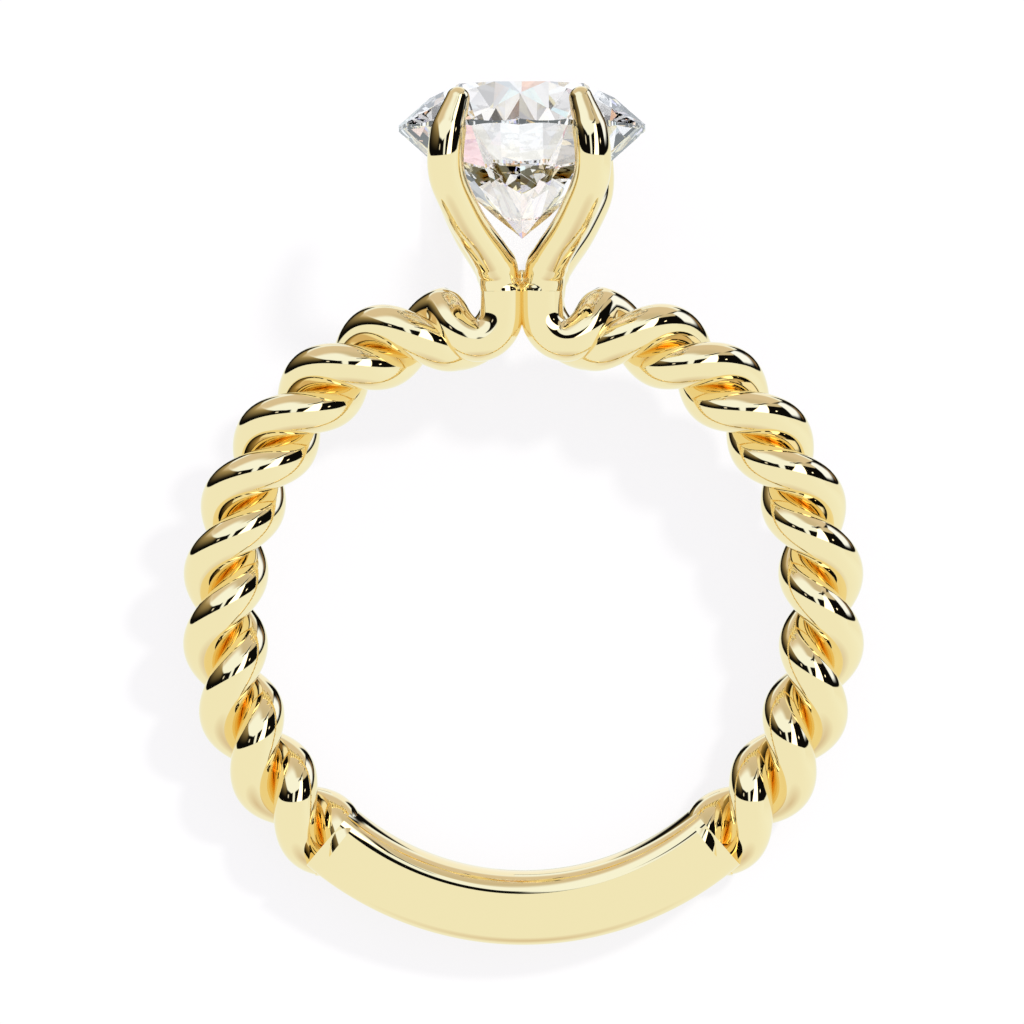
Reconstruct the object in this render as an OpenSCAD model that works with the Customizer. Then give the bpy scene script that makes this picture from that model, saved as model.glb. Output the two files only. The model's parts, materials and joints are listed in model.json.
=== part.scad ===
// Twisted shank solitaire ring, lying on its side as it rests on a table.
//
// The ring is drawn standing in its own plane first: x across, y from the middle of the finger
// hole up to the stone, z towards the ring's front. It is then laid on its back, where it leans on
// the bar's edge and on the two back claws. Angles along the shank are counted from the stone.

/* [Finger] */
// Inside diameter of the ring
finger_d = 16.9; // [15:0.1:19]

/* [Twisted wires] */
// Diameter of each of the two wires
wire_d = 1.42; // [1.3:0.02:1.6]
// How far the two wires are pressed into each other
wire_press = 0.04; // [0.02:0.01:0.1]
// How far the solder between them fills the twist inside
solder = 0.08; // [0.06:0.01:0.12]
// Part of the shank, in degrees, in which the twist makes half a turn
half_turn = 13.65; // [12:0.05:16]
// Place of the first outermost wire after the shoulders, in degrees from the stone
twist_start = 28.3; // [26:0.1:31]
// How far the twist draws in towards the finger at the shoulders
shoulder_dip = 0.28; // [0.1:0.02:0.4]

/* [Base bar] */
// Half of the arc that the bar takes, in degrees
bar_half_arc = 40.55; // [30:0.05:50]
// Thickness of the bar, from its inside to its outside
bar_t = 2.42; // [2.1:0.02:2.8]
// Width of the bar along the finger
bar_w = 2.4; // [2.0:0.05:2.8]
// How far the bar's inside stands back from the wires
bar_inset = 0.06; // [0:0.01:0.2]
// Depth of the round inside of the bar
bar_comfort = 0.77; // [0.4:0.01:1]
// Radius of the bar's two outer edges
bar_edge = 0.5; // [0.2:0.02:0.8]
// How far the wires run into the bar, in degrees
bar_lap = 2.25; // [1:0.05:4]

/* [Stone] */
// Diameter of the round brilliant
stone_d = 8.1; // [7.4:0.05:8.8]
// Height of the middle of the girdle over the finger hole
girdle_up = 7.41; // [7:0.05:8]
// Thickness of the girdle where it is thickest
girdle_t = 0.21; // [0.18:0.01:0.3]
// Width of the table as a share of the stone's diameter
table_share = 0.545; // [0.5:0.005:0.62]
// Slope of the eight kite facets of the crown
crown_angle = 35.5; // [32:0.5:37]
// Slope of the eight main facets of the pavilion
pavilion_angle = 41; // [39:0.5:42]
// Width of the star facets as a share of the crown's slope
star_share = 0.5; // [0.4:0.02:0.6]
// Length of the lower girdle facets as a share of the pavilion
lower_share = 0.78; // [0.6:0.02:0.85]

/* [Claws] */
// Diameter of a claw
claw_d = 1.19; // [1:0.01:1.35]
// Diameter of a claw at its foot, where a thin ledge marks it off from the wire
claw_foot_d = 1.38; // [1.3:0.01:1.4]
// Height of the front claws' feet over the finger hole
foot_up = 2.05; // [1.8:0.05:2.4]
// How much lower the back claws start and bend
back_drop = 0.28; // [0.1:0.01:0.4]
// Direction of the claws round the stone, in degrees from the plane of the ring
claw_angle = 57; // [45:1:62]
// How far the middle of a claw stands outside the girdle where it is widest
claw_out = 0.37; // [0.2:0.01:0.5]
// How far under the girdle a claw is widest
claw_widest = 1.2; // [0.9:0.05:1.5]
// How far the claws' tips lean in over the girdle
tip_in = 0.39; // [0.3:0.01:0.5]
// Height of the middle of a tip over the girdle
tip_up = 0.79; // [0.7:0.01:0.9]
// Diameter of a claw's round tip
tip_d = 0.78; // [0.6:0.02:0.9]
// Gap between the stone and the seat that is cut into the claws
seat_gap = 0.04; // [0.02:0.01:0.1]

/* [Hidden] */

sides = 10;
steps_per_half_turn = 7;
spline_steps = 2;
arc_steps = 60;
round_steps = 5;
solder_half_arc = 45;
// Steps over which the solder runs out at the shoulder
solder_fade = 4;

finger_r = finger_d / 2;
wire_r = wire_d / 2;
strand_off = wire_r - wire_press / 2;
rope_r = finger_r + wire_r + strand_off;
wire_end = 180 - bar_half_arc + bar_lap;
shoulder = twist_start - half_turn;

stone_r = stone_d / 2;
girdle_y = finger_r + girdle_up;
table_r = stone_r * table_share;
crown_h = (stone_r - table_r) * tan(crown_angle);
pavilion_h = stone_r * tan(pavilion_angle);
girdle_half = girdle_t / 2;
// Half of the angle between two corners of the eight-sided table
facet_half_angle = 22.5;
table_edge = table_r * cos(facet_half_angle);
star_r = table_edge + (stone_r - table_edge) * star_share;
star_z = girdle_half + (stone_r - star_r * cos(facet_half_angle)) * tan(crown_angle);
lower_r = stone_r * (1 - lower_share);
lower_z = -girdle_half - (stone_r - lower_r * cos(facet_half_angle)) * tan(pavilion_angle);

// A ring of corners has the area of the round section that it stands for
corner_share = sqrt(2 * PI / (sides * sin(360 / sides)));

// Places of a claw: its foot beside the three others, its widest part and its tip
foot_off = strand_off - solder / 2;
function around(r) = [r * cos(claw_angle), r * sin(claw_angle)];
claw_wide = around(stone_r + claw_out);
claw_tip = around(stone_r - tip_in);

// The U under the head, from the wire's place at the shoulder to the claw's foot.
// across: 1 at the shoulder, 0 at the foot; up: 0 at the finger hole, 1 at the foot;
// depth: 0 in the middle of the ring, 1 at the foot
FRONT_TURN = [
    // across, up,   depth
    [0.852, 0.493, 0.63],
    [0.691, 0.307, 0.90],
    [0.471, 0.212, 1.00],
    [0.267, 0.268, 1.00],
    [0.122, 0.430, 1.00],
    [0.039, 0.639, 1.00],
    [0.010, 0.840, 1.00],
];
BACK_TURN = [
    // across, up,   depth
    [0.749, 0.125, 0.66],
    [0.534, 0.225, 0.93],
    [0.328, 0.370, 1.00],
    [0.173, 0.552, 1.00],
    [0.070, 0.766, 1.00],
];
// A claw, from its foot to its widest part.
// out and up: 0 at the foot, 1 at the widest part; slim: 0 foot diameter, 1 claw diameter
CLAW_RISE = [
    // out,  up,    slim
    [0.000, 0.000, 0.00],
    [0.026, 0.082, 0.00],
    [0.050, 0.159, 0.10],
    [0.149, 0.236, 0.45],
    [0.261, 0.312, 0.65],
    [0.387, 0.389, 0.90],
    [0.572, 0.500, 1.00],
    [0.723, 0.625, 1.00],
    [0.882, 0.769, 1.00],
    [0.960, 0.860, 1.00],
    [1.000, 1.000, 1.00],
];
// A claw, from its widest part to its tip.
// in and up: 0 at the widest part, 1 at the tip; slim: 0 claw diameter, 1 tip diameter
CLAW_BEND = [
    // in,   up,    slim
    [0.200, 0.400, 0.05],
    [0.373, 0.553, 0.17],
    [0.556, 0.698, 0.45],
    [0.800, 0.860, 0.75],
    [1.000, 1.000, 1.00],
];
// The round end of a tip: how far on, and how wide, as shares of the tip's radius
TIP_END = [
    // on,   wide
    [0.50, 0.87],
    [0.87, 0.50],
];

function clamp(v, low, high) = max(low, min(high, v));
function unit(v) = v / norm(v);
function across(v, t) = unit(v - (v * t) * t);
function mix(a, b, share) = a + (b - a) * share;

// Middle of the left twist at an angle from the stone, and of one of its wires.
// Wire 0 runs on into the back claw and wire 1 into the front claw.
function outward(a) = [-sin(a), cos(a), 0];
function dip(a) = shoulder_dip * (1 - cos(180 * clamp((twist_start - a) / half_turn, 0, 1))) / 2;
function lay(a, wire) = 180 * ((twist_start - a) / half_turn + wire);
function lay_dir(a, wire) = cos(lay(a, wire)) * outward(a) + sin(lay(a, wire)) * [0, 0, 1];
function wire_mid(a, wire) = (rope_r - dip(a)) * outward(a) + strand_off * lay_dir(a, wire);

rope_steps = round((wire_end - shoulder) / half_turn * steps_per_half_turn);
rope_angles = [for (i = [0 : rope_steps]) mix(wire_end, shoulder, i / rope_steps)];

// Smooth curve through stations: each is [x, y, z, radius]
function curve_point(p, i, t) =
    let (a = p[max(i - 1, 0)], b = p[i], c = p[i + 1], d = p[min(i + 2, len(p) - 1)])
    0.5 * (2 * b + (c - a) * t + (2 * a - 5 * b + 4 * c - d) * t * t
        + (3 * b - a - 3 * c + d) * t * t * t);
function curve(p, first, n) = [
    for (i = [first : len(p) - 2], s = [0 : n - 1]) curve_point(p, i, s / n),
    p[len(p) - 1],
];

function foot_height(wire) = finger_r + foot_up - (1 - wire) * back_drop;
function wide_height(wire) = girdle_y - claw_widest - (1 - wire) * back_drop;
function front(wire) = 2 * wire - 1;
function foot_place(wire) = [-foot_off, foot_height(wire), front(wire) * foot_off];

// Stations of a wire, from the bar to the claw's foot
function turn_rows(wire) = wire == 1 ? FRONT_TURN : BACK_TURN;
function turn_point(wire, row) =
    let (start = wire_mid(shoulder, wire), foot = foot_place(wire))
    [mix(foot[0], start[0], row[0]), mix(finger_r, foot[1], row[1]), row[2] * foot[2]];
function with_r(p, r) = [p[0], p[1], p[2], r];
function rope_stations(wire) = [for (a = rope_angles) with_r(wire_mid(a, wire), wire_r)];
function turn_stations(wire) = [
    for (a = [rope_angles[rope_steps - 2], shoulder]) with_r(wire_mid(a, wire), wire_r),
    for (row = turn_rows(wire)) with_r(turn_point(wire, row), wire_r),
    with_r(foot_place(wire), wire_r),
];
function wire_stations(wire) = concat(
    [for (i = [0 : rope_steps - 1]) rope_stations(wire)[i]],
    curve(turn_stations(wire), 1, spline_steps));

// Stations of a claw, from its foot to its tip
function claw_point(wire, out, y) = [-out[0], y, front(wire) * out[1]];
function rise_station(wire, row) =
    let (out = mix([foot_off, foot_off], claw_wide, row[0]))
    with_r(claw_point(wire, out, mix(foot_height(wire), wide_height(wire), row[1])),
        mix(claw_foot_d, claw_d, row[2]) / 2);
function bend_station(wire, row) =
    with_r(claw_point(wire, mix(claw_wide, claw_tip, row[0]),
            mix(wide_height(wire), girdle_y + tip_up, row[1])),
        mix(claw_d, tip_d, row[2]) / 2);
function claw_keys(wire) = concat(
    [for (row = CLAW_RISE) rise_station(wire, row)],
    [for (row = CLAW_BEND) bend_station(wire, row)]);
function tip_stations(wire) =
    let (keys = claw_keys(wire), last = keys[len(keys) - 1],
         lean = unit(last - with_r(keys[len(keys) - 2], last[3])))
    [for (row = TIP_END) with_r(last + lean * row[0] * tip_d / 2, row[1] * tip_d / 2)];
function claw_stations(wire) = concat(claw_keys(wire), tip_stations(wire));

// Rings of corners round the stations. Each ring is square to the wire, and its first corner
// keeps its side: along the twist it is the side away from the other wire.
function place(s) = [s[0], s[1], s[2]];
function at_foot(s) = s[1] == foot_height(0) || s[1] == foot_height(1);
function run(stations, i) = at_foot(stations[i]) ? [0, 1, 0] :
    unit(place(stations[min(i + 1, len(stations) - 1)]) - place(stations[max(i - 1, 0)]));
function sideways(stations, first, side) = [
    for (i = first, s = across(side, run(stations, first)); i < len(stations);
        i = i + 1, s = across(s, run(stations, min(i, len(stations) - 1)))) s
];
function wire_sides(stations, wire) = concat(
    [for (i = [0 : rope_steps - 1]) across(lay_dir(rope_angles[i], wire), run(stations, i))],
    sideways(stations, rope_steps, lay_dir(shoulder, wire)));
function ring(s, t, side, fill) = [
    for (k = [0 : sides - 1])
        let (a = 360 * k / sides, facing = abs(a - 180) < solder_half_arc,
             r = corner_share * s[3] + (facing ? fill : 0))
        place(s) + r * (cos(a) * side + sin(a) * cross(t, side))
];
function slide(p, t, mid, normal) = p + t * ((mid - p) * normal) / (t * normal);
function cut_ring(points, t, mid, normal) = [for (p = points) slide(p, t, mid, normal)];

function wire_rings(wire) =
    let (s = wire_stations(wire), side = wire_sides(s, wire), t0 = run(s, 0),
         along = [-cos(wire_end), -sin(wire_end), 0])
    [for (i = [0 : len(s) - 1])
        i == 0 ? cut_ring(ring(s[0], t0, side[0], solder), t0, place(s[0]), along)
               : ring(s[i], run(s, i), side[i],
                      solder * clamp((rope_steps + 1 - i) / solder_fade, 0, 1))];
function foot_side(wire) =
    let (s = wire_stations(wire), side = wire_sides(s, wire)) side[len(s) - 1];
function claw_rings(wire) =
    let (s = claw_stations(wire), side = sideways(s, 0, foot_side(wire)))
    [for (i = [0 : len(s) - 1]) ring(s[i], run(s, i), side[i], 0)];

// A tube through rings of corners
module tube(rings) {
    last = (len(rings) - 1) * sides;
    polyhedron(
        points = [for (r = rings) each r],
        faces = concat(
            [[for (k = [0 : sides - 1]) k]],
            [for (i = [0 : len(rings) - 2], k = [0 : sides - 1])
                let (low = i * sides, high = low + sides, n = (k + 1) % sides)
                [low + k, high + k, high + n, low + n]],
            [[for (k = [0 : sides - 1]) last + sides - 1 - k]]));
}

module both_sides() {
    children();
    mirror([1, 0, 0]) children();
}

// Section of the bar: its round inside, its flat front and back and its rounded outer edges
function bar_section() =
    let (inside = finger_r + bar_inset, outside = inside + bar_t, half = bar_w / 2)
    concat(
        [for (i = [0 : 2 * round_steps]) let (a = -90 + 90 * i / round_steps)
            [inside + bar_comfort * (1 - cos(a)), half * sin(a)]],
        [for (i = [0 : round_steps]) let (a = 90 - 90 * i / round_steps)
            [outside - bar_edge + bar_edge * cos(a), half - bar_edge + bar_edge * sin(a)]],
        [for (i = [0 : round_steps]) let (a = -90 * i / round_steps)
            [outside - bar_edge + bar_edge * cos(a), -half + bar_edge + bar_edge * sin(a)]]);

module base_bar() {
    rotate([0, 0, -90 - bar_half_arc])
        rotate_extrude(angle = 2 * bar_half_arc, $fn = arc_steps) polygon(bar_section());
}

// A wire and the claw that it ends in; the step between them is the ledge at the claw's foot
module twisted_wires() {
    both_sides() for (wire = [0, 1]) difference() {
        tube(concat(wire_rings(wire), claw_rings(wire)));
        seat();
    }
}

// Places a thing that is drawn round z at the stone's place, with its middle at the girdle
module at_stone() {
    translate([0, girdle_y, 0]) rotate([-90, 0, 0]) children();
}

// What the stone takes out of a claw: its girdle drawn out to the ends of its star facets and of
// its lower facets, all a gap larger
module disc(r, z) {
    translate([0, 0, z]) cylinder(h = girdle_t, r = r, center = true, $fn = arc_steps);
}
module seat() {
    at_stone() {
        hull() {
            disc(stone_r + seat_gap, 0);
            disc(star_r + seat_gap, star_z - girdle_half);
        }
        hull() {
            disc(stone_r + seat_gap, 0);
            disc(lower_r + seat_gap, lower_z + girdle_half);
        }
    }
}

// Corners of the brilliant, eight of a kind, at a radius, a height and an angle
function eight(r, z, turn) = [for (k = [0 : 7]) [r * cos(45 * k + turn), r * sin(45 * k + turn), z]];

module brilliant() {
    half = girdle_half;
    // The facets at the girdle run on to corners outside it, which the round girdle then cuts off
    girdle_edge = stone_r * cos(facet_half_angle / 2);
    overrun = 1.0025;
    corner_r = overrun * stone_r / cos(facet_half_angle / 2);
    past = corner_r * cos(facet_half_angle / 2) - girdle_edge;
    upper_drop = past * (star_z - half) / (girdle_edge - star_r * cos(facet_half_angle / 2));
    lower_rise = past * (-half - lower_z) / (girdle_edge - lower_r * cos(facet_half_angle / 2));
    points = concat(
        eight(table_r, half + crown_h, facet_half_angle),
        eight(star_r, star_z, 0),
        eight(stone_r, half, facet_half_angle),
        eight(corner_r, half - upper_drop, 0),
        eight(corner_r, half - upper_drop, facet_half_angle),
        eight(corner_r, lower_rise - half, 0),
        eight(corner_r, lower_rise - half, facet_half_angle),
        eight(stone_r, -half, facet_half_angle),
        eight(lower_r, lower_z, 0),
        [[0, 0, -half - pavilion_h]]);
    tables = 0;
    stars = 8;
    tops = 16;
    upper = 24;
    upper_kite = 32;
    lower = 40;
    lower_kite = 48;
    bottoms = 56;
    lows = 64;
    culet = 72;
    faces = concat(
        [[for (k = [7 : -1 : 0]) tables + k]],
        [for (k = [0 : 7]) let (n = (k + 1) % 8, b = (k + 7) % 8) each [
            [stars + k, tables + b, tables + k],
            [tables + k, stars + n, tops + k, stars + k],
            [stars + k, tops + k, upper_kite + k, upper + k],
            [stars + n, upper + n, upper_kite + k, tops + k],
            [upper + k, upper_kite + k, lower_kite + k, lower + k],
            [upper_kite + k, upper + n, lower + n, lower_kite + k],
            [lows + k, lower + k, lower_kite + k, bottoms + k],
            [lows + n, bottoms + k, lower_kite + k, lower + n],
            [culet, lows + k, bottoms + k, lows + n],
        ]]);
    intersection() {
        polyhedron(points = points, faces = faces);
        cylinder(h = 4 * stone_r, r = stone_r, center = true, $fn = arc_steps);
    }
}

// How the ring leans: the line under the bar's back edge and the back claws
bar_edge_y = -(finger_r + bar_inset + bar_t - bar_edge);
bar_edge_z = -(bar_w / 2 - bar_edge);
back_corners = [for (r = claw_rings(0), p = r) p];
function lean_over(p) =
    let (y = p[1] - bar_edge_y, z = bar_edge_z - p[2])
    atan2(z, y) - asin(bar_edge / norm([y, z]));
rest_lean = max([for (p = back_corners) lean_over(p)]);
function leaned_y(y, z) = y * cos(rest_lean) - z * sin(rest_lean);
function leaned_z(y, z) = y * sin(rest_lean) + z * cos(rest_lean);
rest_up = -min([for (p = back_corners) leaned_z(p[1], p[2])]);
low_y = leaned_y(bar_edge_y, -bar_edge_z) - bar_edge;
high_y = leaned_y(girdle_y + girdle_half + crown_h, -table_r * cos(facet_half_angle));

module at_rest() {
    translate([0, -(low_y + high_y) / 2, rest_up]) rotate([rest_lean, 0, 0]) children();
}

module shank_with_claws() {
    color("gold") at_rest() {
        twisted_wires();
        base_bar();
    }
}

module stone() {
    color("azure") at_rest() at_stone() brilliant();
}

shank_with_claws();
stone();
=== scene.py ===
# %% [markdown]
# # A solitaire ring with a twisted shank
# The ring is made of two round gold wires that are twisted round each other. Under the head they
# part, turn upwards and become the four claws that hold a round brilliant. At the bottom they run
# into a plain bar, which is comfortable to wear and gives a place for a jeweller's marks. This
# lesson makes every visible surface anew, much finer than the solids that physics uses, and lays
# the finished pieces over those solids.

import json
import math

import bpy
import numpy as np
from mathutils import Matrix, Vector
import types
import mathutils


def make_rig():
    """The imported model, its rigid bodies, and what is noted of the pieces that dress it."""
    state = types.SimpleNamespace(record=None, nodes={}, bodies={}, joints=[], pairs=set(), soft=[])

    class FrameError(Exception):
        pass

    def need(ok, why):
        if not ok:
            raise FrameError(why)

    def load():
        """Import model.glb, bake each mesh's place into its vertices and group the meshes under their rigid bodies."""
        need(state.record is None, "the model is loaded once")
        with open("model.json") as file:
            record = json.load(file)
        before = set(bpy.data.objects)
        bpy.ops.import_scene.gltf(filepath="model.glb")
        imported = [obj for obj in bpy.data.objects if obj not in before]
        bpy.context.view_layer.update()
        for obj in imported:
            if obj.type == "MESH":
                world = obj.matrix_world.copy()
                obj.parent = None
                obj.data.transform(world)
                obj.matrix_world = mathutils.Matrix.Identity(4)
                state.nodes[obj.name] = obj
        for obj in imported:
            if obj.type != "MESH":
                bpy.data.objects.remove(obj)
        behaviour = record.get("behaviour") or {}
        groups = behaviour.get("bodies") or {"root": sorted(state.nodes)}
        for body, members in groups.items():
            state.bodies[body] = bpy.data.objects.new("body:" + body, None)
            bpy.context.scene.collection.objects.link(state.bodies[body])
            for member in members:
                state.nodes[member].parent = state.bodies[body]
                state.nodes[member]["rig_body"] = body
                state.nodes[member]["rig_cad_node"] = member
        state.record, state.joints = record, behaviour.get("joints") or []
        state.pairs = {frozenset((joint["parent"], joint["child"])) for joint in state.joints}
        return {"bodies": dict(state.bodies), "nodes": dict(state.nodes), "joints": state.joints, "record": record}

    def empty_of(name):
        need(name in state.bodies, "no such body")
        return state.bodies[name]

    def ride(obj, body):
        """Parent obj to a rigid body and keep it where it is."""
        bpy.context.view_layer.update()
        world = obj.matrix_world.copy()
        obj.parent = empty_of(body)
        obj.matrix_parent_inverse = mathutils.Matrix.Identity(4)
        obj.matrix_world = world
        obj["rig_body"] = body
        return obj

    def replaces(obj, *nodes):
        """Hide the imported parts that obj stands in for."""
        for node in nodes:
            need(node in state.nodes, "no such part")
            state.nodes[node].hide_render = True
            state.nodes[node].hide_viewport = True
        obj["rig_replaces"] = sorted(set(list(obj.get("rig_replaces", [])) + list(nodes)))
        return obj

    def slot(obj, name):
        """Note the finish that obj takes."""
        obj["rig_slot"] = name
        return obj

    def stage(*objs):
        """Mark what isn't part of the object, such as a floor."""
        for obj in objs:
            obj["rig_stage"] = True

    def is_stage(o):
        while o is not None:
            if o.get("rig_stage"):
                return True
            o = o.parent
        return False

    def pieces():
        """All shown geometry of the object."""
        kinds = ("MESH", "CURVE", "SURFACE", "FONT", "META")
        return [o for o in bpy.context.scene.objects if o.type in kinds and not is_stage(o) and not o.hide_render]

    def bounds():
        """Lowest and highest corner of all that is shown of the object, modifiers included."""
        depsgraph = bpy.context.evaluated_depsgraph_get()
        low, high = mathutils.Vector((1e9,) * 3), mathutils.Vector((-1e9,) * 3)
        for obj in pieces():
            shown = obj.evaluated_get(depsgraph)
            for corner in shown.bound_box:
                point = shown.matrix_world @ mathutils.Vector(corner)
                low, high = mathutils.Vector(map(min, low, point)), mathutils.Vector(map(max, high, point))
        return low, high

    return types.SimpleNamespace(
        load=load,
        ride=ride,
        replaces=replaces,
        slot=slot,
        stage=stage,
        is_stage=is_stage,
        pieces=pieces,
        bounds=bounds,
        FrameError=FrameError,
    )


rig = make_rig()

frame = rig.load()
cad_box = [list(corner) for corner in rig.bounds()]
print("solids:", sorted(frame["nodes"]), "box:", cad_box)

# %% [markdown]
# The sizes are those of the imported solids, in millimetres. The ring is drawn standing in its own
# plane, x across, y up to the stone and z to the front, because every formula is simplest there.
# At the end each piece is laid down in the way that the real ring lies on a table: it leans on
# the bar's back edge and on the two back claws.

# %% Sizes and the place where the ring rests
FINGER_R = 16.9 / 2
WIRE_R = 1.42 / 2
WIRE_PRESS = 0.04
HALF_TURN = 13.65
TWIST_START = 28.3
SHOULDER_DIP = 0.28
BAR_HALF_ARC = 40.55
BAR_T, BAR_W, BAR_INSET = 2.42, 2.4, 0.06
BAR_COMFORT, BAR_EDGE, BAR_LAP = 0.77, 0.5, 2.25
STONE_R = 8.1 / 2
GIRDLE_Y = FINGER_R + 7.41
GIRDLE_HALF = 0.21 / 2
TABLE_SHARE, STAR_SHARE, LOWER_SHARE = 0.545, 0.5, 0.78
CROWN_SLOPE = math.tan(math.radians(35.5))
PAVILION_SLOPE = math.tan(math.radians(41))
CLAW_R, CLAW_FOOT_R, TIP_R = 1.19 / 2, 1.38 / 2, 0.78 / 2
FOOT_UP, BACK_DROP = 2.05, 0.28
CLAW_ANGLE = math.radians(57)
CLAW_OUT, CLAW_WIDEST, TIP_IN, TIP_UP = 0.37, 1.2, 0.39, 0.79
SEAT_GAP = 0.04
SOLDER = 0.08

# how the solids lie: the ring's lean, and the finger hole's middle above the table and off centre
REST_LEAN = math.radians(7.15888)
REST_UP = 2.49434
REST_MIDDLE = 3.23146
TO_METRES = Matrix.Scale(0.001, 4)
LAY_DOWN = (
    TO_METRES
    @ Matrix.Translation((0, -REST_MIDDLE, REST_UP))
    @ Matrix.Rotation(REST_LEAN, 4, "X")
)
print("the ring's middle lies at", [round(c, 5) for c in LAY_DOWN @ Vector((0, 0, 0))], "m")

# %% [markdown]
# A twist is two helices bent round a circle. At an angle from the stone, both wires stand half a
# wire from the rope's own middle, on opposite sides, and that pair turns half a turn for every
# 13.65 degrees of the ring. Towards the head the rope draws in a little, which makes room for the
# turn. Wire 0 ends in a back claw and wire 1 in a front claw.

# %% The middle of each wire in the twist
STRAND_OFF = WIRE_R - WIRE_PRESS / 2
ROPE_R = FINGER_R + WIRE_R + STRAND_OFF
WIRE_END = 180 - BAR_HALF_ARC + BAR_LAP
SHOULDER = TWIST_START - HALF_TURN
FRONT = np.array([0.0, 0.0, 1.0])


def outward(angle):
    a = math.radians(angle)
    return np.array([-math.sin(a), math.cos(a), 0.0])


def wire_middle(angle, wire):
    drawn_in = min(max((TWIST_START - angle) / HALF_TURN, 0), 1)
    dip = SHOULDER_DIP * (1 - math.cos(math.pi * drawn_in)) / 2
    lay = math.pi * ((TWIST_START - angle) / HALF_TURN + wire)
    side = math.cos(lay) * outward(angle) + math.sin(lay) * FRONT
    return (ROPE_R - dip) * outward(angle) + STRAND_OFF * side


print("half turns on each side:", round((WIRE_END - SHOULDER) / HALF_TURN, 1))

# %% [markdown]
# Past the shoulder no formula fits: the wires swing inwards, side by side, and rise. Such a bend is
# best given as a few places that are read off and a smooth curve through them. Each row of
# a turn holds shares of the way: out from the claw's foot to the shoulder, up from the finger hole
# to the foot, and to the front or back as far as the foot.

# %% The turn under the head and the claws
FRONT_TURN = [
    (0.852, 0.493, 0.63), (0.691, 0.307, 0.90), (0.490, 0.212, 1.0), (0.322, 0.222, 1.0),
    (0.180, 0.290, 1.0), (0.064, 0.420, 1.0), (0.012, 0.565, 1.0), (0.002, 0.710, 1.0),
    (0.0, 0.860, 1.0),
]
BACK_TURN = [
    (0.749, 0.125, 0.66), (0.528, 0.225, 0.93), (0.305, 0.375, 1.0), (0.140, 0.560, 1.0),
    (0.040, 0.775, 1.0),
]
# out, up and slimming, from the foot to the widest place
CLAW_RISE = [
    (0.026, 0.082, 0.0), (0.050, 0.159, 0.10), (0.149, 0.236, 0.45), (0.261, 0.312, 0.65),
    (0.387, 0.389, 0.90), (0.572, 0.500, 1.0), (0.723, 0.625, 1.0), (0.882, 0.769, 1.0),
    (0.960, 0.860, 1.0), (1.0, 1.0, 1.0),
]
# in, up, slimming and depth, from the widest place to the tip
CLAW_BEND = [
    (0.200, 0.400, 0.05, 0.14), (0.373, 0.553, 0.17, 0.27), (0.556, 0.698, 0.45, 0.36),
    (0.800, 0.860, 0.75, 0.47), (1.0, 1.0, 1.0, 0.58),
]
# the slope on which a claw leaves its foot: height above the foot, radius and shift outwards
FOOT_SLOPE = [
    (0.0, 0.710, 0.0), (0.05, 0.697, 0.012), (0.10, 0.683, 0.028), (0.15, 0.669, 0.044),
    (0.20, 0.658, 0.056), (0.25, 0.652, 0.062), (0.32, 0.651, 0.062), (0.44, 0.657, 0.052),
    (0.58, 0.668, 0.034), (0.74, 0.680, 0.015), (0.90, 0.688, 0.004),
]
# room above the slope before the claw's own circles go on
SLOPE_GAP = 0.1
# the bead of solder in the corner between two claws: height above the foot and radius
BEAD = [
    (-0.3, 0.16), (0.0, 0.16), (0.2, 0.17), (0.4, 0.18), (0.55, 0.17), (0.64, 0.14), (0.69, 0.08),
]
# how far the bead lies further in than the claws' feet, towards the ring's own plane
BEAD_IN = 0.29


def mix(a, b, share):
    return a + (b - a) * share


def foot_of(wire):
    drop = (1 - wire) * BACK_DROP
    off = STRAND_OFF - SOLDER / 2
    return np.array([-off, FINGER_R + FOOT_UP - drop, (2 * wire - 1) * off])


def turn_places(wire):
    start, foot = wire_middle(SHOULDER, wire), foot_of(wire)
    rows = FRONT_TURN if wire else BACK_TURN
    return [
        np.array([mix(foot[0], start[0], r[0]), mix(FINGER_R, foot[1], r[1]), r[2] * foot[2]])
        for r in rows
    ]


def claw_places(wire):
    """Places and radii of a claw above its foot."""
    side = 2 * wire - 1
    foot = foot_of(wire)
    drop = (1 - wire) * BACK_DROP
    wide_y = GIRDLE_Y - CLAW_WIDEST - drop
    way = np.array([-math.cos(CLAW_ANGLE), 0, side * math.sin(CLAW_ANGLE)])
    wide = way * (STONE_R + CLAW_OUT) + [0, wide_y, 0]
    tip = way * (STONE_R - TIP_IN) + [0, GIRDLE_Y + TIP_UP, 0]

    def between(a, b, row):
        return np.array([mix(a[i], b[i], row[k]) for i, k in ((0, 0), (1, 1), (2, -1))])

    places = [between(foot, wide, (*r, r[0])) for r in CLAW_RISE]
    places += [between(wide, tip, r) for r in CLAW_BEND]
    radii = [mix(CLAW_FOOT_R, CLAW_R, r[2]) for r in CLAW_RISE]
    radii += [mix(CLAW_R, TIP_R, r[2]) for r in CLAW_BEND]
    return places, radii


print("front claw's foot:", foot_of(1).round(3), "tip:", claw_places(1)[0][-1].round(3))

# %% [markdown]
# A round wire is swept: a circle of points is carried along the curve, square to it, and
# neighbouring circles are joined by four-sided faces. The circle must not spin on the way, so each
# one takes its first direction from the one before, only tilted into its own plane.

# %% Sweeping a round wire
SIDES = 40
# any direction will do that no wire starts along
FIRST_AIM = (0.3, 0.5, 0.8)


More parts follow.
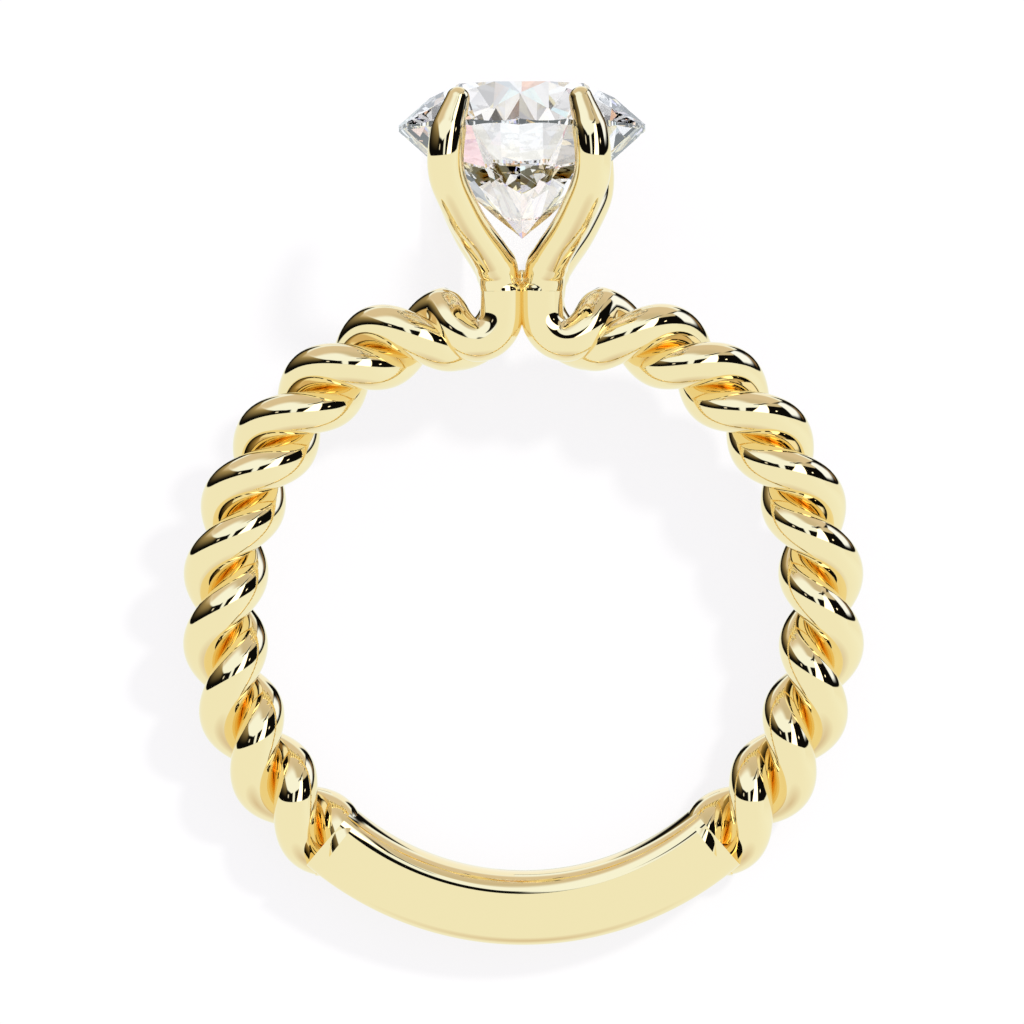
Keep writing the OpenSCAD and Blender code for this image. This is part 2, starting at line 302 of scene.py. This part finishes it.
def smooth(places, steps):
    """A Catmull-Rom curve through places, from the second to the last but one."""
    p = np.array(places)
    out = []
    for i in range(1, len(p) - 2):
        a, b, c, d = p[i - 1 : i + 3]
        for t in np.arange(steps) / steps:
            out.append(
                0.5 * (2 * b + (c - a) * t + (2 * a - 5 * b + 4 * c - d) * t**2
                       + (3 * b - a - 3 * c + d) * t**3)
            )
    out.append(p[-2])
    return np.array(out)


def even_out(rows, passes):
    """Takes the last unevenness out of a curve; its two ends stay."""
    rows = np.array(rows)
    for _ in range(passes):
        rows[1:-1] = (rows[:-2] + 2 * rows[1:-1] + rows[2:]) / 4
    return rows


def sweep(places, radii, plane_at_start=None):
    """Rings of points round a line of places."""
    places = np.array(places)
    ahead = np.gradient(places, axis=0)
    ahead /= np.linalg.norm(ahead, axis=1)[:, None]
    side = np.cross(ahead[0], FIRST_AIM)
    turn = 2 * np.pi * np.arange(SIDES) / SIDES
    rings = []
    for place, t, r in zip(places, ahead, radii):
        side = side - (side @ t) * t
        side /= np.linalg.norm(side)
        up = np.cross(t, side)
        rings.append(place + r * (np.cos(turn)[:, None] * side + np.sin(turn)[:, None] * up))
    if plane_at_start is not None:
        ring, t = rings[0], ahead[0]
        slide = ((places[0] - ring) @ plane_at_start) / (t @ plane_at_start)
        rings[0] = ring + slide[:, None] * t
    return rings


def skin(rings):
    """Vertices and faces of a closed tube through rings."""
    n = len(rings[0])
    faces = [tuple(reversed(range(n)))]
    for i in range(len(rings) - 1):
        low, high = i * n, (i + 1) * n
        faces += [(low + k, low + (k + 1) % n, high + (k + 1) % n, high + k) for k in range(n)]
    faces.append(tuple(range((len(rings) - 1) * n, len(rings) * n)))
    return np.concatenate(rings), faces


print("a ring of points has", SIDES, "corners")

# %% [markdown]
# One wire runs from the bar through the twist and the turn, and grows straight into its claw. The
# claw leaves its foot on a short slope, where the real head is soldered on. The tip is closed with
# the circles of half a ball.

# %% Stations of a whole wire with its claw
STEPS_PER_HALF_TURN = 22
TURN_STEPS, CLAW_STEPS, TIP_STEPS = 8, 6, 9
TURN_PASSES, CLAW_PASSES = 12, 14
# the part of a half turn from which the turn's curve takes its first direction
LEAD = 2 / 7


def whole_wire(wire):
    count = round((WIRE_END - SHOULDER) / HALF_TURN * STEPS_PER_HALF_TURN)
    angles = np.linspace(WIRE_END, SHOULDER, count + 1)
    rope = [wire_middle(a, wire) for a in angles]
    foot = foot_of(wire)
    lead = wire_middle(SHOULDER + LEAD * HALF_TURN, wire)
    claw, claw_r = claw_places(wire)
    turn = smooth([lead, rope[-1], *turn_places(wire), foot, claw[0]], TURN_STEPS)
    below = turn_places(wire)[-1]
    rise = smooth([np.append(below, CLAW_FOOT_R), np.append(foot, CLAW_FOOT_R),
                   *(np.append(p, r) for p, r in zip(claw, claw_r)),
                   np.append(claw[-1] * 2 - claw[-2], TIP_R)], CLAW_STEPS)
    places = list(rope[:-1]) + list(even_out(turn, TURN_PASSES))
    radii = [WIRE_R] * len(places)
    rise = even_out(rise, CLAW_PASSES)
    heights = rise[:, 1] - foot[1]
    for up, r, out in FOOT_SLOPE:
        at = [np.interp(up, heights, rise[:, k]) for k in range(3)]
        places.append(np.array(at) - [out, 0, 0])
        radii.append(r)
    clear = heights > FOOT_SLOPE[-1][0] + SLOPE_GAP
    places += list(rise[clear, :3])
    radii += list(rise[clear, 3])
    lean = places[-1] - places[-2]
    lean /= np.linalg.norm(lean)
    last = places[-1]
    for k in range(1, TIP_STEPS + 1):
        a = math.pi / 2 * k / (TIP_STEPS + 0.5)
        places.append(last + lean * math.sin(a) * TIP_R)
        radii.append(math.cos(a) * TIP_R)
    return places, radii


places, radii = whole_wire(1)
print("stations in a wire:", len(places))

# %% [markdown]
# New pieces are all finished in the same way: points become a mesh, the mesh is laid down, faces
# are shaded smoothly except across sharp edges, and the piece is told which body it rides on, which
# solid it stands for and which finish of the record it wears.

# %% Helpers that make and finish a piece
def make_mesh(name, points, faces):
    mesh = bpy.data.meshes.new(name)
    mesh.from_pydata([tuple(p) for p in points], [], faces)
    mesh.update()
    piece = bpy.data.objects.new(name, mesh)
    bpy.context.scene.collection.objects.link(piece)
    return piece


def mirrored(points, faces):
    return [(-p[0], p[1], p[2]) for p in points], [tuple(reversed(f)) for f in faces]


def boolean(piece, cutter, how):
    """Gives a piece the mesh that is left of it; the cutter stays."""
    cut = piece.modifiers.new("cut", "BOOLEAN")
    cut.object, cut.operation, cut.solver = cutter, how, "EXACT"
    seen = piece.evaluated_get(bpy.context.evaluated_depsgraph_get())
    mesh = bpy.data.meshes.new_from_object(seen)
    piece.modifiers.clear()
    piece.data = mesh


def finish_piece(piece, node, slot, material, sharp=math.radians(35)):
    mesh = piece.data
    mesh.transform(LAY_DOWN)
    mesh.polygons.foreach_set("use_smooth", [True] * len(mesh.polygons))
    mesh.set_sharp_from_angle(angle=sharp)
    mesh.materials.clear()
    mesh.materials.append(material)
    mesh.update()
    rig.ride(piece, "root")
    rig.replaces(piece, node)
    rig.slot(piece, slot)
    print(piece.name, len(mesh.polygons), "faces")


# %% [markdown]
# Polished gold is a mirror with a colour. Nothing of its own shows but the room around it, twice
# and three times over where one wire faces another, and each reflection makes the colour deeper.
# A mirror that is quite perfect looks like plastic film, so the polish gets what a buffing wheel
# leaves: very shallow waves, and roughness that wanders a little. Those two effects are a node
# group, which wires and bar both use with their own values.

# %% A node group for the polish
def add(tree, kind, **values):
    node = tree.nodes.new(kind)
    for name, value in values.items():
        setattr(node, name, value)
    return node


def polish_group():
    group = bpy.data.node_groups.new("polish", "ShaderNodeTree")
    sockets = group.interface
    for name, low, high, start in (
        ("Waves Per Metre", 10, 5000, 600), ("Rough Low", 0, 1, 0.02), ("Rough High", 0, 1, 0.05),
    ):
        s = sockets.new_socket(name=name, in_out="INPUT", socket_type="NodeSocketFloat")
        s.min_value, s.max_value, s.default_value = low, high, start
    sockets.new_socket(name="Roughness", in_out="OUTPUT", socket_type="NodeSocketFloat")
    sockets.new_socket(name="Height", in_out="OUTPUT", socket_type="NodeSocketFloat")
    enter, leave = add(group, "NodeGroupInput"), add(group, "NodeGroupOutput")
    where = add(group, "ShaderNodeTexCoord")
    cloud = add(group, "ShaderNodeTexNoise", noise_dimensions="3D")
    cloud.inputs["Detail"].default_value = 2.0
    spread = add(group, "ShaderNodeMapRange")
    spread.inputs["From Min"].default_value = 0.3
    spread.inputs["From Max"].default_value = 0.7
    join = group.links.new
    join(where.outputs["Object"], cloud.inputs["Vector"])
    join(enter.outputs["Waves Per Metre"], cloud.inputs["Scale"])
    join(cloud.outputs["Fac"], spread.inputs["Value"])
    join(enter.outputs["Rough Low"], spread.inputs["To Min"])
    join(enter.outputs["Rough High"], spread.inputs["To Max"])
    join(spread.outputs["Result"], leave.inputs["Roughness"])
    join(cloud.outputs["Fac"], leave.inputs["Height"])
    return group


POLISH = polish_group()
print("polish gives", [s.name for s in POLISH.interface.items_tree])

# %% [markdown]
# Gold is all reflection: one colour, fully metallic, and the polish. The bar was filed flat and
# buffed, so its waves are a little wider and deeper than those of the drawn wire.

# %% Gold for the wires and for the bar
GOLD = (0.953, 0.785, 0.447, 1.0)


def gold(name, waves_per_metre, rough_low, rough_high, wave_depth):
    material = bpy.data.materials.new(name)
    material.use_nodes = True
    tree = material.node_tree
    shader = tree.nodes["Principled BSDF"]
    shader.inputs["Base Color"].default_value = GOLD
    shader.inputs["Metallic"].default_value = 1.0
    polish = add(tree, "ShaderNodeGroup", node_tree=POLISH)
    polish.inputs["Waves Per Metre"].default_value = waves_per_metre
    polish.inputs["Rough Low"].default_value = rough_low
    polish.inputs["Rough High"].default_value = rough_high
    bump = add(tree, "ShaderNodeBump")
    bump.inputs["Strength"].default_value = 1.0
    bump.inputs["Distance"].default_value = wave_depth
    tree.links.new(polish.outputs["Roughness"], shader.inputs["Roughness"])
    tree.links.new(polish.outputs["Height"], bump.inputs["Height"])
    tree.links.new(bump.outputs["Normal"], shader.inputs["Normal"])
    return material


WIRE_GOLD = gold("wire_gold", 500, 0.012, 0.035, 0.0000004)
BAR_GOLD = gold("bar_gold", 300, 0.015, 0.045, 0.0000006)
print("gold:", WIRE_GOLD.name, BAR_GOLD.name)

# %% [markdown]
# A diamond is clear, and all its life comes from its facets. Glass with a diamond's index of
# refraction does the rest by itself, as long as the facets are flat, quite smooth, and meet in
# sharp edges.

# %% Diamond
DIAMOND = bpy.data.materials.new("clear_diamond")
DIAMOND.use_nodes = True
clear = DIAMOND.node_tree.nodes["Principled BSDF"]
clear.inputs["Base Color"].default_value = (1.0, 1.0, 1.0, 1.0)
clear.inputs["Roughness"].default_value = 0.0
clear.inputs["IOR"].default_value = 2.417
clear.inputs["Transmission Weight"].default_value = 1.0
print("diamond's index of refraction:", round(clear.inputs["IOR"].default_value, 3))

# %% [markdown]
# The seat is cut with a turned body that follows the stone, a gap larger. A jeweller does the same
# with a setting burr, and then presses the claws home.

# %% The seat cutter
STAR_R = mix(STONE_R * TABLE_SHARE * math.cos(math.pi / 8), STONE_R, STAR_SHARE)
STAR_Z = GIRDLE_HALF + (STONE_R - STAR_R * math.cos(math.pi / 8)) * CROWN_SLOPE
LOWER_R = STONE_R * (1 - LOWER_SHARE)
LOWER_Z = -GIRDLE_HALF - (STONE_R - LOWER_R * math.cos(math.pi / 8)) * PAVILION_SLOPE


def turned(profile, corners):
    """Rings for a body turned round the stone's axis, from its lowest place up."""
    turn = 2 * np.pi * np.arange(corners) / corners
    return [
        np.stack([r * np.cos(turn), np.full(corners, GIRDLE_Y + z), -r * np.sin(turn)], 1)
        for r, z in profile
    ]


seat_profile = [
    (LOWER_R + SEAT_GAP, LOWER_Z), (STONE_R + SEAT_GAP, -GIRDLE_HALF),
    (STONE_R + SEAT_GAP, GIRDLE_HALF), (STAR_R + SEAT_GAP, STAR_Z),
]
SEAT_CORNERS = 240
seat = make_mesh("seat_burr", *skin(turned(seat_profile, SEAT_CORNERS)))
print("the burr is", round(2 * (STONE_R + SEAT_GAP), 2), "mm wide")

# %% [markdown]
# Now the metal. Two wires are swept, one behind and one in front, each with its claw at the end.
# The burr cuts the seat into the claws, and the other half of the ring is the mirror image.

# %% Four wires with their claws
last_angle = math.radians(WIRE_END)
end_plane = np.array([-math.cos(last_angle), -math.sin(last_angle), 0])
for wire, end in ((0, "back"), (1, "front")):
    places, radii = whole_wire(wire)
    points, faces = skin(sweep(places, radii, end_plane))
    for hand in ("left", "right"):
        if hand == "right":
            points, faces = mirrored(points, faces)
        piece = make_mesh(f"wire_and_{end}_claw_{hand}", points, faces)
        boolean(piece, seat, "DIFFERENCE")
        finish_piece(piece, "shank_with_claws", "gold", WIRE_GOLD)
bpy.data.objects.remove(seat)
print("corners on the last wire:", len(points))

# %% [markdown]
# Where two claws part, solder has run up into the corner between them and left a small bead.

# %% The beads between the claws
for wire, end in ((0, "back"), (1, "front")):
    _, foot_y, foot_z = foot_of(wire)
    middle = [(0, foot_y + up, foot_z - (2 * wire - 1) * BEAD_IN) for up, _ in BEAD]
    bead = make_mesh(f"solder_between_{end}_claws", *skin(sweep(middle, [r for _, r in BEAD])))
    finish_piece(bead, "shank_with_claws", "gold", WIRE_GOLD)
print("beads reach", BEAD[-1][0], "mm above the claws' feet")

# %% [markdown]
# The bar is one section carried round the finger: round inside, so that it slides over a knuckle,
# flat in front and behind, and softened along its two outer edges.

# %% The base bar
BAR_STEPS, EDGE_STEPS = 180, 10


def bar_section():
    inside = FINGER_R + BAR_INSET
    outside, half = inside + BAR_T, BAR_W / 2
    comfort = [
        (inside + BAR_COMFORT * (1 - math.cos(a)), half * math.sin(a))
        for a in np.linspace(-math.pi / 2, math.pi / 2, 4 * EDGE_STEPS + 1)
    ]
    corner = [
        (BAR_EDGE * math.cos(a), BAR_EDGE * math.sin(a))
        for a in np.linspace(math.pi / 2, 0, EDGE_STEPS + 1)
    ]
    front = [(outside - BAR_EDGE + x, half - BAR_EDGE + z) for x, z in corner]
    back = [(x, -z) for x, z in reversed(front)]
    return comfort + front + back


def bar_rings():
    rings = []
    for a in np.linspace(-BAR_HALF_ARC, BAR_HALF_ARC, BAR_STEPS + 1):
        across, up = math.sin(math.radians(a)), -math.cos(math.radians(a))
        rings.append(np.array([(r * across, r * up, z) for r, z in bar_section()]))
    return rings


bar = make_mesh("base_bar", *skin(bar_rings()))
finish_piece(bar, "shank_with_claws", "gold", BAR_GOLD)
print("the bar covers", 2 * BAR_HALF_ARC, "degrees")

# %% [markdown]
# The round brilliant has 57 facets. Eight kites and eight stars slope from the table, sixteen upper
# facets reach the girdle, sixteen lower facets leave it, and eight mains run down to the culet.
# Their corners at the girdle lie outside it, and a round cut takes them off, which leaves the
# scalloped edge that a real girdle has.

# %% The stone
GIRDLE_CORNERS = 240
# before the round cut the stone has sixteen straight sides, whose middles lie this many radii out
CORNER_OUT = 1.0025
GIRDLE_CUT_HALF = 6
FACET_EDGE = math.radians(1.6)


def eight(r, z, turn):
    angles = [math.radians(45 * k + turn) for k in range(8)]
    return [(r * math.cos(a), GIRDLE_Y + z, -r * math.sin(a)) for a in angles]


def brilliant():
    kite = 22.5
    # the middle of one of the sixteen sides comes in to this share of its corners' radius
    near = math.cos(math.radians(kite / 2))
    half = GIRDLE_HALF
    table_r = STONE_R * TABLE_SHARE
    crown_h = (STONE_R - table_r) * CROWN_SLOPE
    girdle_edge = STONE_R * near
    corner_r = CORNER_OUT * STONE_R / near
    past = corner_r * near - girdle_edge
    upper_drop = past * (STAR_Z - half) / (girdle_edge - STAR_R * near)
    lower_rise = past * (-half - LOWER_Z) / (girdle_edge - LOWER_R * near)
    points = (
        eight(table_r, half + crown_h, kite) + eight(STAR_R, STAR_Z, 0) + eight(STONE_R, half, kite)
        + eight(corner_r, half - upper_drop, 0) + eight(corner_r, half - upper_drop, kite)
        + eight(corner_r, lower_rise - half, 0) + eight(corner_r, lower_rise - half, kite)
        + eight(STONE_R, -half, kite) + eight(LOWER_R, LOWER_Z, 0)
        + [(0, GIRDLE_Y - half - STONE_R * PAVILION_SLOPE, 0)]
    )
    table, star, top, upper, upper_kite, lower, lower_kite, bottom, low, culet = range(0, 80, 8)
    faces = [tuple(range(8))]
    for k in range(8):
        n, b = (k + 1) % 8, (k + 7) % 8
        faces += [
            (table + k, table + b, star + k), (star + k, top + k, star + n, table + k),
            (upper + k, upper_kite + k, top + k, star + k),
            (top + k, upper_kite + k, upper + n, star + n),
            (lower + k, lower_kite + k, upper_kite + k, upper + k),
            (lower_kite + k, lower + n, upper + n, upper_kite + k),
            (bottom + k, lower_kite + k, lower + k, low + k),
            (lower + n, lower_kite + k, bottom + k, low + n), (low + n, bottom + k, low + k, culet),
        ]
    return points, faces


stone = make_mesh("round_brilliant", *brilliant())
round_cut = [(STONE_R, -GIRDLE_CUT_HALF), (STONE_R, GIRDLE_CUT_HALF)]
girdle_cut = make_mesh("girdle_cut", *skin(turned(round_cut, GIRDLE_CORNERS)))
boolean(stone, girdle_cut, "INTERSECT")
bpy.data.objects.remove(girdle_cut)
finish_piece(stone, "stone", "diamond", DIAMOND, sharp=FACET_EDGE)
# light goes through a clear stone, so it throws no shadow of its own
stone.visible_shadow = False

# %% [markdown]
# The ring lies on a plain pale sheet that is lit from below, as on a light table, so that its
# shadows stay faint. A jewellery photograph is mostly lighting: the sheet fills the lower half of
# what the gold reflects, and the upper half is a dark room with a large canvas overhead, a white
# backdrop and a few windows. Up here means up in the picture, towards the stone.

# %% The sheet
SHEET_HALF = 1.5


def plain_sheet():
    material = bpy.data.materials.new("pale_sheet")
    material.use_nodes = True
    shader = material.node_tree.nodes["Principled BSDF"]
    shader.inputs["Base Color"].default_value = (0.15, 0.15, 0.15, 1.0)
    shader.inputs["Roughness"].default_value = 0.9
    shader.inputs["Specular IOR Level"].default_value = 0.0
    shader.inputs["Emission Color"].default_value = (0.80, 0.792, 0.808, 1.0)
    shader.inputs["Emission Strength"].default_value = 1.0
    corners = [(x * SHEET_HALF, y * SHEET_HALF, 0) for x, y in ((-1, -1), (1, -1), (1, 1), (-1, 1))]
    sheet = make_mesh("sheet", corners, [(0, 1, 2, 3)])
    sheet.data.materials.append(material)
    sheet.visible_glossy = sheet.visible_transmission = False
    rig.stage(sheet)
    return sheet


sheet = plain_sheet()
print("sheet:", sheet.name)

# %% [markdown]
# What the gold and the stone see of the room is painted on the inside of a ball, which nothing else
# sees. Its vertices are coloured by a short list of panels. Each row is one panel: its chart, its
# corners, how soft the edge after each corner is, and its colour. A panel lies over those before
# it. There are two charts to draw on: round about, with azimuth and elevation in degrees, where 0
# and 0 is the camera, and the ceiling, seen from below, where 1 is as far to the side as the
# ceiling is high.

# %% The room
SHEET_LIGHT, SHEET_GLARE, BLACK = (0.922, 1.0, 1.03), (0.955, 1.065, 1.15), (0.004, 0.004, 0.005)
WHITE, PALE, DAZZLE = (0.98, 1.13, 1.40), (0.86, 0.88, 0.95), (2.4, 2.4, 2.4)
BRIGHT, BROWN, DARK_BROWN = (1.03, 1.21, 1.75), (0.44, 0.36, 0.20), (0.22, 0.15, 0.08)
CANVAS, CANVAS_GREY, BACKDROP = (0.72, 0.66, 0.60), (0.63, 0.59, 0.52), (0.98, 1.04, 1.12)
HORIZON = 7.5
ROUND, CEILING = 0, 1
PANELS = [
    (ROUND, [(60, -30), (140, -30), (140, HORIZON - 0.15), (60, HORIZON - 0.15)],
     [30, 30, 0.1, 40], SHEET_GLARE),
    (ROUND, [(70, -5), (181, -5), (181, 14), (140, 13), (95, 10), (75, HORIZON)],
     [0.1, 0.1, 0.6, 0.6, 0.6, 0.6], SHEET_LIGHT),
    (ROUND, [(-181, -5), (-105, -5), (-105, HORIZON), (-125, 9.5), (-145, 11.5), (-181, 13)],
     [0.1, 0.1, 0.6, 0.6, 0.6, 0.1], SHEET_LIGHT),
    (ROUND, [(-142, 27), (-52, 27), (-52, 60), (-142, 60)], [15, 8, 1, 8], BROWN),
    (ROUND, [(126, 17), (143, 19), (143, 31), (128, 31)], [3, 3, 3, 3], DARK_BROWN),
    (CEILING, [(-0.75, -0.9), (0.72, -0.93), (0.74, -0.1), (0.5, 0.72), (0.05, 2.1), (-0.93, 2.29),
               (-1.55, 1.5), (-1.5, 0.75), (-1.3, 0.1), (-1.12, -0.35), (-0.95, -0.68)],
     [0.03, 0.02, 0.02, 0.02, 0.05, 0.1, 0.1, 0.1, 0.07, 0.07, 0.07], WHITE),
    (ROUND, [(0, 26), (22, 30), (30, 44), (0, 50)], [1, 1, 1, 1], WHITE),
    (CEILING, [(-1.3, -0.6), (0.75, -0.6), (0.75, 0.42), (-1.3, 0.42)],
     [0.15, 0.02, 0.2, 0.3], CANVAS),
    (CEILING, [(-0.35, 0.2), (0.6, 0.2), (0.5, 0.75), (0.1, 0.85)],
     [0.2, 0.05, 0.08, 0.2], CANVAS_GREY),
    (ROUND, [(17, 42.5), (33, 46.5), (33, 49), (17, 44.5)], [0.6, 0.6, 0.6, 0.6], BLACK),
    (ROUND, [(33, 43), (85, 39), (98, 49), (75, 52), (60, 51), (45, 48)],
     [1, 1, 1, 1, 1, 1], CANVAS_GREY),
    (ROUND, [(33, 43), (50, 42), (50, 48), (45, 48)], [1, 2, 1, 1], WHITE),
    (ROUND, [(88, 18), (112, 18), (130, 27), (127, 44), (118, 48.5), (100, 49.5), (90, 48)],
     [4, 5, 8, 3, 1, 1, 2], BRIGHT),
    (ROUND, [(165, 14), (182, 14), (182, 55), (152, 55)], [1, 1, 3, 2], BACKDROP),
    (ROUND, [(-182, 14), (-166, 14), (-156, 46), (-182, 46)], [1, 3, 0.8, 1], BACKDROP),
    (ROUND, [(-13, HORIZON), (-3, HORIZON), (-1, 32), (-14, 32)], [0.2, 0.8, 1, 2], WHITE),
    (ROUND, [(9, HORIZON), (37, HORIZON), (46, 42), (30, 43), (21, 28.5)],
     [0.2, 1, 1, 1, 1], DAZZLE),
    (ROUND, [(-41, 14), (-36, 14), (-36, 19), (-41, 19)], [1, 1, 1, 1], PALE),
    (ROUND, [(54, 19), (58, 21), (58, 24), (54, 22)], [0.7, 0.7, 0.7, 0.7], DAZZLE),
]


def ramp(value, low, high):
    t = np.clip((value - low) / (high - low), 0, 1)
    return t * t * (3 - 2 * t)


def panel_mask(chart, corners, softs):
    """1 inside the panel and 0 outside it; its corners run anticlockwise."""
    mask = 1.0
    for corner, following, soft in zip(corners, corners[1:] + corners[:1], softs):
        ahead = np.subtract(following, corner)
        inwards = np.array([-ahead[1], ahead[0]]) / np.hypot(*ahead)
        mask = mask * ramp((chart - np.array(corner)) @ inwards, -soft, soft)
    return mask


BALL_R, AROUND, UPWARDS = 0.35, 480, 150
LOW_LEVELS = [-90, -60, -30, -15, -5, 0, 4, HORIZON - 0.3]
# the ceiling's chart ends where a ray rises less than this
LEAST_RISE = 0.02
levels = np.concatenate([LOW_LEVELS, np.linspace(HORIZON, 90, UPWARDS)])
grid_az, grid_el = np.meshgrid(np.linspace(-180, 180, AROUND + 1), levels, indexing="ij")
round_about = np.stack([grid_az.ravel(), grid_el.ravel()], 1)
az, el = np.radians(round_about).T
rays = np.stack([np.sin(az) * np.cos(el), np.sin(el), np.cos(az) * np.cos(el)], 1)
ceiling = rays[:, [0, 2]] / np.maximum(rays[:, 1:2], LEAST_RISE)
walls = np.where(round_about[:, 1:] < HORIZON - 0.1, SHEET_LIGHT, BLACK)
for chart, corners, softs, colour in PANELS:
    mask = panel_mask((round_about, ceiling)[chart], corners, softs)[:, None]
    walls = walls * (1 - mask) + np.array(colour) * mask
print("room:", len(rays), "places,", len(PANELS), "panels")

# %% [markdown]
# Inside the stone light is thrown about so often that each facet shows one small part of the room,
# split into its colours. The stone gets its own, paler paint: small fields, most of them white or
# grey, a few black and a few with a tint of the spectrum.

# %% The stone's fields
FIELD = 5
TINTS = np.array(
    [(1.12, 1.12, 1.14)] * 10 + [(0.84, 0.85, 0.88)] * 5 + [(0.50, 0.50, 0.52)] * 3
    + [(0.03, 0.03, 0.03)] * 4 + [(0.60, 0.40, 0.14), (1.15, 0.80, 0.92), (0.80, 1.04, 1.12)]
    + [(1.15, 1.05, 0.66), (1.10, 0.66, 0.45), (0.60, 0.60, 1.00)]
)
fields = np.random.default_rng(4).integers(len(TINTS), size=(360 // FIELD + 1, 180 // FIELD + 1))
column, row = (round_about + [180, 90]).astype(int).T // FIELD
sparks = TINTS[fields[column, row]]
print("fields:", fields.size)

# %% [markdown]
# Both paints go onto one ball, as two layers of colour on its vertices. It is built upright, like
# the ring, and then laid down with it.

# %% The ball
tall = len(levels)
ball_faces = [
    (i * tall + j, (i + 1) * tall + j, (i + 1) * tall + j + 1, i * tall + j + 1)
    for i in range(AROUND) for j in range(tall - 1)
]
ball = make_mesh("room", rays * BALL_R * 1000, ball_faces)
ball.data.transform(LAY_DOWN)
for name, colours in (("walls", walls), ("sparks", sparks)):
    paint = ball.data.color_attributes.new(name, "FLOAT_COLOR", "POINT")
    paint.data.foreach_set("color", np.column_stack([colours, np.ones(len(colours))]).ravel())
print("the ball has", len(ball_faces), "faces")

# %% [markdown]
# The ball glows with its own paint. A ray that comes out of the stone is a transmission ray and
# sees nearly only the fields, and every other ray sees the panels. The sheet sees neither: a plain
# white world lights it evenly from all around.

# %% The room's light
STONE_SHARE = 0.95
glow = bpy.data.materials.new("room_light")
glow.use_nodes = True
glow.cycles.emission_sampling = "NONE"
tree = glow.node_tree
tree.nodes.clear()
kinds = add(tree, "ShaderNodeLightPath")
share = add(tree, "ShaderNodeMath", operation="MULTIPLY")
share.inputs[1].default_value = STONE_SHARE
blend = add(tree, "ShaderNodeMix", data_type="RGBA")
lamp = add(tree, "ShaderNodeEmission")
end = add(tree, "ShaderNodeOutputMaterial")
for name, socket in (("walls", "A"), ("sparks", "B")):
    colours = add(tree, "ShaderNodeAttribute", attribute_name=name)
    tree.links.new(colours.outputs["Color"], blend.inputs[socket])
tree.links.new(kinds.outputs["Is Transmission Ray"], share.inputs[0])
tree.links.new(share.outputs[0], blend.inputs["Factor"])
tree.links.new(blend.outputs["Result"], lamp.inputs["Color"])
tree.links.new(lamp.outputs[0], end.inputs["Surface"])
ball.data.materials.append(glow)
ball.visible_camera = ball.visible_diffuse = ball.visible_shadow = False
ball.visible_volume_scatter = False
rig.stage(ball)
world = bpy.data.worlds.new("studio")
bpy.context.scene.world = world
world.use_nodes = True
world.node_tree.nodes["Background"].inputs["Color"].default_value = (1.0, 1.0, 1.03, 1.0)
print("light:", glow.name, world.name)

# %% [markdown]
# A sun from the upper right gives the sheet the pale lavender shadow of the photograph. It
# isn't reflected, because the room already holds all the highlights.

# %% The sun
SUN_FROM = Vector((0.7, 0.5, 1.0))
SUN_STRENGTH, SUN_WIDTH = 2.2, math.radians(6)
sun = bpy.data.lights.new("sun", "SUN")
sun.energy, sun.angle = SUN_STRENGTH, SUN_WIDTH
sun.color = (1.0, 0.98, 0.93)
sun_lamp = bpy.data.objects.new("sun", sun)
sun_lamp.rotation_euler = SUN_FROM.to_track_quat("Z", "Y").to_euler()
sun_lamp.visible_glossy = False
bpy.context.scene.collection.objects.link(sun_lamp)
print("sun:", sun.energy)

# %% [markdown]
# The camera stands straight in front of the finger hole and far away, as for the photograph: a long
# lens keeps both sides of the ring equally large. It stands a little to the right of the ring's
# axis and is a touch off level. RING_X and RING_Y are the pixel of the finger hole's middle.

# %% The camera
HALF_FRAME = 1024 / 2
PIXELS_PER_MM = 30.44
CAMERA_FAR = 235.0
YAW, ROLL = math.radians(1.5), math.radians(-0.13)
RING_X, RING_Y = 523.1, 611.0
right = Vector((math.cos(YAW), 0, -math.sin(YAW)))
back = Vector((math.sin(YAW), 0, math.cos(YAW)))
up = Vector((0, 1, 0))
turned_right = right * math.cos(ROLL) + up * math.sin(ROLL)
turned_up = up * math.cos(ROLL) - right * math.sin(ROLL)
aim_x = (HALF_FRAME - RING_X) / PIXELS_PER_MM
aim_y = (RING_Y - HALF_FRAME) / PIXELS_PER_MM
stand = turned_right * aim_x + turned_up * aim_y + back * CAMERA_FAR
lens = bpy.data.cameras.new("camera")
lens.sensor_fit = "HORIZONTAL"
lens.angle = 2 * math.atan(HALF_FRAME / PIXELS_PER_MM / CAMERA_FAR)
lens.clip_start, lens.clip_end = 0.01, 10.0
camera = bpy.data.objects.new("camera", lens)
pose = Matrix((turned_right, turned_up, back)).transposed().to_4x4()
pose.translation = stand
pose = LAY_DOWN @ pose
camera.matrix_world = Matrix.LocRotScale(pose.translation, pose.to_quaternion(), None)
bpy.context.scene.collection.objects.link(camera)
bpy.context.scene.camera = camera
bpy.context.scene.view_settings.view_transform = "Standard"
print("camera at", [round(c, 4) for c in camera.location])

# %% [markdown]
# Between two mirrors, and inside a cut stone, light turns many times before it leaves. If it's
# given up too early, the grooves of the twist and half of the stone's facets stay black.

# %% How often light may turn
light_paths = bpy.context.scene.cycles
light_paths.max_bounces = 24
light_paths.glossy_bounces, light_paths.transmission_bounces = 9, 20
print("turns of light:", light_paths.max_bounces)

# %% [markdown]
# Last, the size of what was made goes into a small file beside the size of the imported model, so
# that the two can be compared.

# %% Sizes for the record, and the end
with open("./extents.json", "w") as out:
    json.dump({"cad": cad_box, "visual": [list(corner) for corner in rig.bounds()]}, out)
print(open("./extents.json").read())
